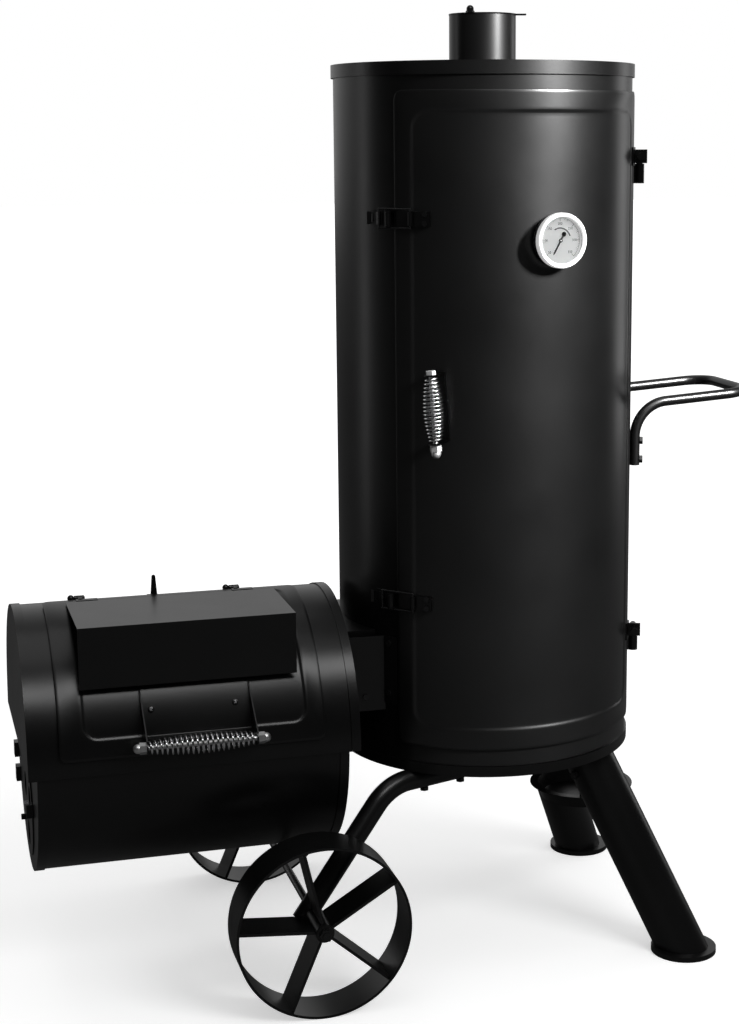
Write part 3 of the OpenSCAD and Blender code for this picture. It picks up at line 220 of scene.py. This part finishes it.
GRATE = metal("grate_wire", (0.50, 0.50, 0.51), (0.62, 0.62, 0.63), 0.22, 0.06, 500.0, 0.00003)
# The dial face glows: painted light that makes it look brightly lit
DIAL = plain("dial_face", (0.86, 0.86, 0.85), 0.45, painted_glow=0.32)
# The bezel glows: painted light that makes the ring look pale and lit
BEZEL = metal("bezel", (0.88, 0.88, 0.88), (0.95, 0.95, 0.95), 0.45, 0.05, 500.0, 0.00002,
              painted_glow=0.42)
INK = plain("dial_ink", (0.03, 0.03, 0.032), 0.5)
INK_SOFT = plain("dial_ink_soft", (0.25, 0.25, 0.26), 0.5)
POINTER = plain("pointer_black", (0.02, 0.02, 0.02), 0.4)

GLASS = new_material("gauge_glass")[0]
glass_shader = GLASS.node_tree.nodes["Principled BSDF"]
glass_shader.inputs["Base Color"].default_value = (0.97, 0.98, 0.98, 1)
glass_shader.inputs["Roughness"].default_value = 0.03
glass_shader.inputs["IOR"].default_value = 1.45
glass_shader.inputs["Transmission Weight"].default_value = 1.0

SLOT_OF = {"black": POWDER, "hardware": HARDWARE, "chrome": CHROME, "stainless": STEEL,
           "zinc": ZINC, "grate": GRATE, "dial": DIAL, "pointer": POINTER, "clear": GLASS}


# ---------------------------------------------------------------- mesh helpers

def finish_piece(o, material, body, nodes=(), angle=35.0):
    """Material, smooth shading, the body that a piece belongs to, and hiding the nodes that it
    stands for.
    """
    o.data.materials.clear()
    o.data.materials.append(material)
    if o.type == "MESH":
        o.data.shade_smooth()
        o.data.set_sharp_from_angle(angle=math.radians(angle))
    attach(o, body)
    if nodes:
        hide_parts(*nodes)
    return o


def mesh_object(name, verts, faces):
    data = bpy.data.meshes.new(name)
    data.from_pydata([tuple(v) for v in verts], [], faces)
    data.validate()
    o = bpy.data.objects.new(name, data)
    scene.collection.objects.link(o)
    return o


def outline(a0, a1, s0, s1, corner, ref, edge_steps, corner_steps):
    """A rounded rectangle as (angle, along) points. Point i lies straight over point n - 1 - i."""
    u0, u1 = math.radians(a0) * ref, math.radians(a1) * ref
    points = []

    def arc(cu, cs, start):
        for k in range(corner_steps + 1):
            t = math.radians(start - 90.0 * k / corner_steps)
            points.append((cu + corner * math.cos(t), cs + corner * math.sin(t)))

    arc(u0 + corner, s1 - corner, 180.0)
    for k in range(1, edge_steps):
        points.append((u0 + corner + (u1 - u0 - 2 * corner) * k / edge_steps, s1))
    arc(u1 - corner, s1 - corner, 90.0)
    arc(u1 - corner, s0 + corner, 0.0)
    for k in range(1, edge_steps):
        points.append((u1 - corner - (u1 - u0 - 2 * corner) * k / edge_steps, s0))
    arc(u0 + corner, s0 + corner, -90.0)
    return [(math.degrees(u / ref), s) for u, s in points]


def pressed_sheet(name, place, r_in, sheet, panel, fold):
    """A curved sheet with rounded corners and a panel pressed inward, closed on both sides.

    sheet and panel are (angles, along, corner radius).
    """
    edge_steps, corner_steps, fold_steps = 72, 10, 6
    r_out = r_in + SHEET

    def loop(grow, radius, inner):
        a, s, c = panel if inner else sheet
        d = math.degrees(grow / r_in)
        return (a[0] + d, a[1] - d, s[0] + grow, s[1] - grow, max(c - grow, 0.8), radius)

    def eased(t):
        return -PANEL_DEPTH * (3 * t * t - 2 * t * t * t)

    back = []
    for k in range(fold_steps, -1, -1):
        t = k / fold_steps
        back.append(loop(fold * t + 0.7, r_in + eased(t), True))
    back.append(loop(-3.0, r_in, True))
    rim = [loop(4.0, r_in, False), loop(0.25, r_in, False), loop(0.0, r_in + 0.25, False),
           loop(0.0, r_out - 0.5, False), loop(0.15, r_out - 0.15, False),
           loop(0.5, r_out, False), loop(4.0, r_out, False)]
    front = [loop(-3.0, r_out, True)]
    for k in range(fold_steps + 1):
        t = k / fold_steps
        front.append(loop(fold * t, r_out + eased(t), True))
    front.append(loop(fold + 4.0, r_out - PANEL_DEPTH, True))
    verts, faces = [], []
    loops = back + rim + front
    for a0, a1, s0, s1, c, radius in loops:
        for angle, s in outline(a0, a1, s0, s1, c, r_in, edge_steps, corner_steps):
            verts.append(place(angle, s, radius))
    n = len(verts) // len(loops)
    for j in range(len(loops) - 1):
        for i in range(n):
            k = (i + 1) % n
            faces.append((j * n + i, j * n + k, (j + 1) * n + k, (j + 1) * n + i))
    last = (len(loops) - 1) * n
    for i in range(n // 2 - 1):
        faces.append((i, n - 1 - i, n - 2 - i, i + 1))
        faces.append((last + i, last + i + 1, last + n - 2 - i, last + n - 1 - i))
    return mesh_object(name, verts, faces)


def joined(name, parts):
    """One mesh from several (vertices, faces) parts."""
    verts, faces = [], []
    for v, f in parts:
        start = len(verts)
        verts += list(v)
        faces += [tuple(start + i for i in face) for face in f]
    return mesh_object(name, verts, faces)


def lathe(profile, base, axis, steps):
    """A profile of (radius, height) points turned about an axis through base."""
    side = axis.orthogonal()
    side = (side - axis * side.dot(axis)).normalized()
    other = axis.cross(side)
    verts, faces = [], []
    for r, h in profile:
        for k in range(steps):
            t = 2 * math.pi * k / steps
            verts.append(base + (axis * h + side * r * math.cos(t) + other * r * math.sin(t)) * MM)
    for j in range(len(profile) - 1):
        for i in range(steps):
            k = (i + 1) % steps
            faces.append((j * steps + i, j * steps + k, (j + 1) * steps + k, (j + 1) * steps + i))
    return verts, faces


def wire(name, points, radius, cyclic=False, order=3):
    """A round wire through points in metres."""
    c = bpy.data.curves.new(name, "CURVE")
    c.dimensions = "3D"
    c.bevel_depth = radius * MM
    c.bevel_resolution = order
    c.use_fill_caps = True
    s = c.splines.new("POLY")
    s.points.add(len(points) - 1)
    for p, v in zip(s.points, points):
        p.co = (*v, 1)
    s.use_cyclic_u = cyclic
    s.use_smooth = True
    o = bpy.data.objects.new(name, c)
    scene.collection.objects.link(o)
    return o


def coil(name, start, end, turns):
    """A barrel-shaped spring between two points."""
    axis = (end - start).normalized()
    side = axis.orthogonal().normalized()
    other = axis.cross(side)
    length = (end - start).length
    points = []
    steps = turns * 28
    for k in range(steps + 1):
        t = k / steps
        swell = COIL_END + (COIL_MIDDLE - COIL_END) * math.sin(math.pi * t) ** 0.9
        a = 2 * math.pi * turns * t
        lift = COIL_WIRE * MM + (length - 2 * COIL_WIRE * MM) * t
        points.append(start + axis * lift + (side * math.cos(a) + other * math.sin(a)) * swell * MM)
    return wire(name, points, COIL_WIRE, order=4)


# ---------------------------------------------------------------- CAD nodes get their finish

FINISH_OF = {"grate_supports": INNER, "drip_hook": INNER, "door_handle_rod": NUTS,
             "lid_handle_rod": NUTS, "gauge_bezel": BEZEL}
for name in ("push_handle", "front_foot_leg", "rear_foot_leg", "front_wheel_leg",
             "rear_wheel_leg", "front_wheel", "rear_wheel", "duct_saddle"):
    FINISH_OF[name] = FRAME_BLACK
for name, node in frame["nodes"].items():
    slots = [s["material_slot"] for s in frame["record"]["subparts"] if s["node"] == name]
    material = SLOT_OF[slots[0]] if slots else POWDER
    node.data.materials.clear()
    node.data.materials.append(FINISH_OF.get(name, material))
    node.data.shade_smooth()
    node.data.set_sharp_from_angle(angle=math.radians(EDGE_ANGLE))
    b = node.modifiers.new("edge", "BEVEL")
    b.width = EDGE_WIDTH * MM
    b.segments = 2
    b.limit_method = "ANGLE"
    b.angle_limit = math.radians(EDGE_ANGLE)
    b.harden_normals = True

# ---------------------------------------------------------------- chamber door and charging lid

door = pressed_sheet("door_panel", chamber, DOOR_IN, ((-51.0, 63.5), (310.0, 1161.0), 12.0),
                     ((-44.5, 57.0), (335.5, 1137.5), 26.0), fold=6.0)
finish_piece(door, POWDER, "door", ("chamber_door",), angle=50)

lid = pressed_sheet("charging_lid_panel", firebox, LID_IN, ((6.5, 92.0), (-606.0, -269.0), 10.0),
                    ((13.6, 88.0), (-577.0, -290.0), 20.0), fold=5.5)
finish_piece(lid, POWDER, "fire_lid", ("charging_lid",), angle=50)

# ---------------------------------------------------------------- spring grips

door_mid = chamber(GRIP_ANGLE, GRIP_Z, GRIP_R)
lean = math.radians(GRIP_LEAN)
grip_turn = math.radians(GRIP_ANGLE)
tangent = Vector((math.cos(grip_turn), math.sin(grip_turn), 0))
door_axis = Vector((0, 0, 1)) * math.cos(lean) - tangent * math.sin(lean)
half = GRIP_HALF * MM
door_spring = coil("door_spring", door_mid - door_axis * half, door_mid + door_axis * half, 17)
finish_piece(door_spring, CHROME, "door", ("door_handle_spring",))

lid_ends = [firebox(LID_GRIP_ANGLE, x, LID_GRIP_R) for x in LID_GRIP_X]
lid_spring = coil("lid_spring", lid_ends[0], lid_ends[1], 21)
finish_piece(lid_spring, CHROME, "fire_lid", ("lid_handle_spring",))

# ---------------------------------------------------------------- screws and wire grates

def screw(place, outward, side, radius, height):
    """A pan head with a cross recess, as (head, recess) parts."""
    outward = outward.normalized()
    side = (side - outward * side.dot(outward)).normalized()
    other = outward.cross(side)
    head = lathe([(radius, 0.0), (radius, height * 0.45), (radius * 0.86, height * 0.8),
                  (radius * 0.5, height), (0.01, height * 1.03)], place, outward, 24)
    reach, half_slot = radius * 0.55, 0.35
    corners = ((-reach, -half_slot), (reach, -half_slot), (reach, half_slot), (-reach, half_slot))
    slots = []
    for a, b in ((side, other), (other, side)):
        v = [place + (a * x + b * y + outward * (height * 1.04)) * MM for x, y in corners]
        slots.append((v, [(0, 1, 2, 3)]))
    return head, slots


heads, recesses = [], []
for x in (-490.0, -383.0):
    place = firebox(24.5, x, LID_IN + 1.6)
    outward = place - firebox(24.5, x, 0.0)
    head, recess = screw(place, outward, Vector((1, 0.3, 0.4)), 4.0, 2.4)
    heads.append(head)
    recesses += recess
finish_piece(joined("lid_screw_heads", heads), HARDWARE, "fire_lid", ("lid_screws",))
finish_piece(joined("lid_screw_recesses", recesses), ZINC, "fire_lid")

for node, place in (("lower_cooking_grate", "low"), ("middle_cooking_grate", "mid"),
                    ("upper_cooking_grate", "high")):
    level, body = GRATE_LEVELS[place], "grate_" + place
    turns = [2 * math.pi * k / 96 for k in range(96)]
    rim = wire(node + "_rim", [at(GRATE_R * math.cos(t), GRATE_R * math.sin(t), level + 3)
                               for t in turns], GRATE_RIM_WIRE, True)
    finish_piece(rim, GRATE, body, (node,))
    for i in range(-GRATE_BARS_EACH_SIDE, GRATE_BARS_EACH_SIDE + 1):
        x = i * GRATE_PITCH
        y = math.sqrt((GRATE_R - 1) ** 2 - x * x)
        ends = [at(x, -y, level + 4.2), at(x, y, level + 4.2)]
        bar = wire("%s_wire_%d" % (node, i + GRATE_BARS_EACH_SIDE), ends, GRATE_BAR_WIRE)
        finish_piece(bar, GRATE, body)
    for y in (-GRATE_STAY_Y, GRATE_STAY_Y):
        x = math.sqrt((GRATE_R - 1) ** 2 - y * y)
        ends = [at(-x, y, level + 1.9), at(x, y, level + 1.9)]
        stay = wire("%s_stay_%d" % (node, int(y)), ends, GRATE_STAY_WIRE)
        finish_piece(stay, GRATE, body)

# ---------------------------------------------------------------- thermometer dial

gauge_turn = math.radians(GAUGE_ANGLE)
gauge_out = Vector((math.sin(gauge_turn), -math.cos(gauge_turn), 0))
gauge_right = Vector((math.cos(gauge_turn), math.sin(gauge_turn), 0))
gauge_up = Vector((0, 0, 1))
gauge_front = chamber(GAUGE_ANGLE, GAUGE_Z, GAUGE_R)


def on_dial(r, clock, depth):
    """A point on the dial: clock in degrees clockwise from the top."""
    t = math.radians(clock)
    return (gauge_front + (gauge_right * math.sin(t) + gauge_up * math.cos(t)) * r * MM
            - gauge_out * depth * MM)


def dial_mark(r0, r1, clock, width):
    """A printed line from one radius to another."""
    t = math.radians(clock)
    side = (gauge_right * math.cos(t) - gauge_up * math.sin(t)) * width / 2 * MM
    a, b = on_dial(r0, clock, DIAL_DEPTH), on_dial(r1, clock, DIAL_DEPTH)
    return [a - side, b - side, b + side, a + side], [(0, 3, 2, 1)]


def dial_arc(r0, r1, sweep, steps, depth):
    """A printed band between two radii, as one part for each step."""
    parts = []
    for i in range(steps):
        a, b = (sweep[0] + (sweep[1] - sweep[0]) * k / steps for k in (i, i + 1))
        corners = ((r0, a), (r0, b), (r1, b), (r1, a))
        parts.append(([on_dial(r, clock, depth) for r, clock in corners], [(0, 1, 2, 3)]))
    return parts


marks = []
for i in range(61):
    clock = DIAL_SWEEP[0] + (DIAL_SWEEP[1] - DIAL_SWEEP[0]) * i / 60
    if i % 10 == 0:
        start, width = 24.2, 0.62
    elif i % 5 == 0:
        start, width = 25.4, 0.4
    else:
        start, width = 26.2, 0.25
    marks.append(dial_mark(start, SCALE_R, clock, width))
ring = dial_arc(SCALE_R, SCALE_R + 0.3, DIAL_SWEEP, 90, DIAL_DEPTH)
finish_piece(joined("dial_marks", marks + ring), INK, "door")
finish_piece(joined("dial_zone", dial_arc(*ZONE_R, ZONE_SWEEP, 40, DIAL_DEPTH + 0.01)),
             INK_SOFT, "door")

turn = Matrix((gauge_right, gauge_up, gauge_out)).transposed().to_4x4()
for i in range(7):
    text = bpy.data.curves.new("dial_number_%d" % i, "FONT")
    text.body = str(50 * (i + 1))
    text.size = 4.6 * MM
    text.align_x = "CENTER"
    text.align_y = "CENTER"
    o = bpy.data.objects.new("dial_number_%d" % i, text)
    scene.collection.objects.link(o)
    place = on_dial(NUMBER_R, DIAL_SWEEP[0] + 45 * i, NUMBER_DEPTH)
    o.matrix_world = Matrix.Translation(place) @ turn
    finish_piece(o, INK, "door")

# ---------------------------------------------------------------- floor, light and camera

bpy.ops.mesh.primitive_plane_add(size=60, location=(0, 0, 0))
floor = bpy.context.object
floor.name = "floor"
# The camera sees a pale floor; other rays meet a dim one, so that black paint stays black
floor_mat, fn, fl, shader = new_material("pale_floor")
shader.inputs["Base Color"].default_value = (0.90, 0.90, 0.90, 1)
shader.inputs["Roughness"].default_value = 0.8
shader.inputs["Specular IOR Level"].default_value = 0.1
painted_floor_glow = fn.new("ShaderNodeEmission")
painted_floor_glow.inputs["Color"].default_value = (1, 1, 1, 1)
spot = fn.new("ShaderNodeTexCoord")
reach = fn.new("ShaderNodeVectorMath")
reach.operation = "LENGTH"
fl.new(spot.outputs["Object"], reach.inputs[0])
# Painted shade and light: the floor glows less near the smoker and more far from it
fl.new(ranged(fn, fl, reach.outputs["Value"], 0.7, 3.2, 0.50, 0.95), painted_floor_glow.inputs["Strength"])
bright = fn.new("ShaderNodeAddShader")
fl.new(shader.outputs["BSDF"], bright.inputs[0])
fl.new(painted_floor_glow.outputs["Emission"], bright.inputs[1])
dim = fn.new("ShaderNodeBsdfDiffuse")
dim.inputs["Color"].default_value = (0.12, 0.12, 0.12, 1)
view_path = fn.new("ShaderNodeLightPath")
either = fn.new("ShaderNodeMixShader")
fl.new(view_path.outputs["Is Camera Ray"], either.inputs["Fac"])
fl.new(dim.outputs["BSDF"], either.inputs[1])
fl.new(bright.outputs["Shader"], either.inputs[2])
fl.new(either.outputs["Shader"], fn["Material Output"].inputs["Surface"])
floor.data.materials.append(floor_mat)

world = bpy.data.worlds.new("studio")
scene.world = world
world.use_nodes = True
wn, wl = world.node_tree.nodes, world.node_tree.links
wn.clear()


def background(strength):
    b = wn.new("ShaderNodeBackground")
    b.inputs["Color"].default_value = (1, 1, 1, 1)
    b.inputs["Strength"].default_value = strength
    return b


def switched(factor, one, two):
    m = wn.new("ShaderNodeMixShader")
    wl.new(factor, m.inputs["Fac"])
    wl.new(one, m.inputs[1])
    wl.new(two, m.inputs[2])
    return m.outputs["Shader"]


# Glossy rays meet a dark studio that grows brighter behind the smoker
path = wn.new("ShaderNodeLightPath")
coords = wn.new("ShaderNodeTexCoord")
split = wn.new("ShaderNodeSeparateXYZ")
ramp = wn.new("ShaderNodeMapRange")
ramp.interpolation_type = "SMOOTHSTEP"
ramp.inputs["From Min"].default_value = 0.3
ramp.inputs["From Max"].default_value = 0.95
ramp.inputs["To Min"].default_value = 0.018
ramp.inputs["To Max"].default_value = 0.55
studio = background(1.0)
wl.new(coords.outputs["Generated"], split.inputs["Vector"])
wl.new(split.outputs["Y"], ramp.inputs["Value"])
wl.new(ramp.outputs["Result"], studio.inputs["Color"])
lit = switched(path.outputs["Is Diffuse Ray"], studio.outputs["Background"],
               background(0.40).outputs["Background"])
seen = switched(path.outputs["Is Camera Ray"], lit, background(1.0).outputs["Background"])
wl.new(seen, wn.new("ShaderNodeOutputWorld").inputs["Surface"])


def softbox(name, place, target, width, height, watts):
    """A rectangular area light that faces its target."""
    light = bpy.data.lights.new(name, "AREA")
    light.shape = "RECTANGLE"
    light.size = width
    light.size_y = height
    light.energy = watts
    o = bpy.data.objects.new(name, light)
    scene.collection.objects.link(o)
    o.location = place
    o.rotation_euler = (Vector(target) - Vector(place)).to_track_quat("-Z", "Y").to_euler()
    return o


# The streak is a highlight only, and only on the chamber, its door and what is fixed to them
streak = softbox("streak", (1.69, -2.08, 2.2), (0.14, 0.0, 1.05), 0.18, 0.6, 540)
streak.visible_diffuse = False
streak.data.cycles.max_bounces = 0
streak_on = bpy.data.collections.new("streak_receivers")
for name in ("chamber_shell", "chamber_lid", "chimney_pipe", "gauge_bezel", "gauge_case",
             "door_handle_rod", "push_handle"):
    streak_on.objects.link(frame["nodes"][name])
for o in (door, door_spring):
    streak_on.objects.link(o)
streak.light_linking.receiver_collection = streak_on
softbox("key", (1.2, -2.4, 2.2), (0.0, 0.0, 0.8), 1.4, 1.2, 40).visible_glossy = False
softbox("top", (-0.1, 0.3, 3.3), (-0.1, 0.0, 0.0), 2.6, 2.0, 12)
softbox("hood", (0.3, -1.9, 3.0), (-0.3, 0.0, 0.4), 2.0, 0.8, 30).visible_diffuse = False
softbox("left", (-2.9, 1.6, 0.95), (0.14, 0.0, 0.8), 0.45, 2.5, 4)
softbox("right", (3.0, 1.1, 1.2), (0.14, 0.0, 0.8), 0.9, 2.0, 7)

cam = bpy.data.cameras.new("camera")
camera = bpy.data.objects.new("camera", cam)
scene.collection.objects.link(camera)
scene.camera = camera
yaw, pitch, roll = math.radians(16.59), math.radians(10.03), math.radians(-0.20)
forward = Vector((math.sin(yaw) * math.cos(pitch), math.cos(yaw) * math.cos(pitch),
                  -math.sin(pitch)))
level_right = Vector((math.cos(yaw), -math.sin(yaw), 0))
level_up = level_right.cross(forward)
right = level_right * math.cos(roll) + level_up * math.sin(roll)
up = level_up * math.cos(roll) - level_right * math.sin(roll)
aim = Matrix((right, up, -forward)).transposed().to_4x4()
camera.matrix_world = Matrix.Translation(at(-794.7, -2481.6, 1100.9)) @ aim
cam.sensor_fit = "AUTO"
cam.sensor_width = 36.0
cam.lens = 67.04
cam.shift_x = -0.0729
cam.shift_y = -0.0352
cam.clip_end = 200.0

scene.view_settings.view_transform = "Standard"
scene.view_settings.look = "None"
scene.view_settings.exposure = 0.0
scene.view_settings.gamma = 1.0
